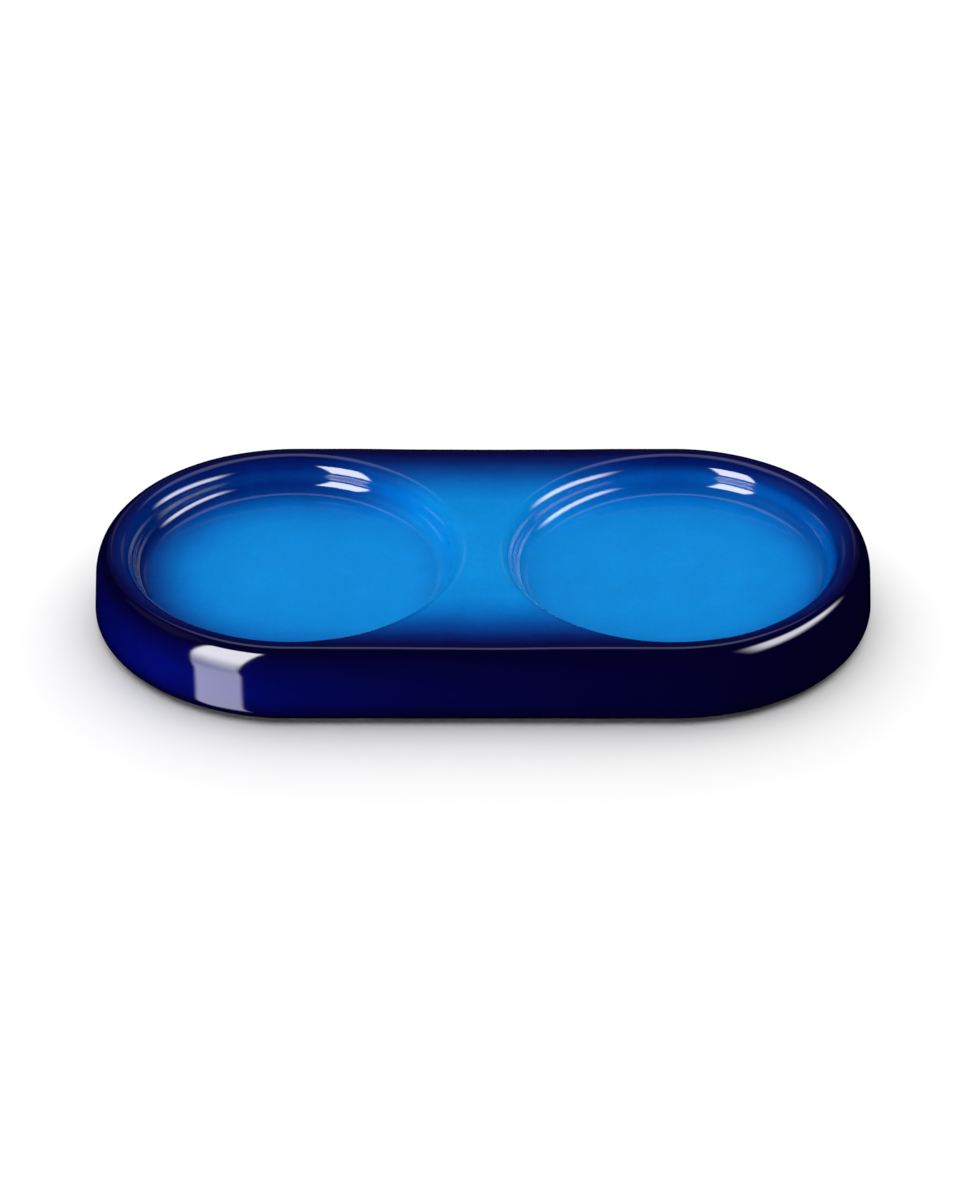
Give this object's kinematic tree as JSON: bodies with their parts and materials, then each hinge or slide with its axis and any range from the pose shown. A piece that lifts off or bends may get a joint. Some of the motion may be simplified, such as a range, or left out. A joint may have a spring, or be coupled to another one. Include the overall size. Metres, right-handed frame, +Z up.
{
  "type": "mill tray",
  "caption": "Low glazed stoneware tray with a long rounded outline and round flat-floored wells side by side that hold table mills and catch spilled pepper and salt.",
  "frame": {"origin": "on the table under the middle of the tray", "axes": "+X along the tray through both wells, +Y to the back, +Z up"},
  "size_m": [0.18, 0.092, 0.0192],
  "materials": {
    "bare_clay": "matt fired clay, fine grain",
    "light_blue_glaze": "gloss",
    "dark_blue_glaze": "gloss",
    "hollow_glaze": "gloss, thin"
  },
  "bodies": {
    "root": {"stoneware_body": "bare_clay", "ground_glaze": "light_blue_glaze", "rim_glaze": "dark_blue_glaze", "base_glaze": "hollow_glaze"}
  },
  "joints": []
}
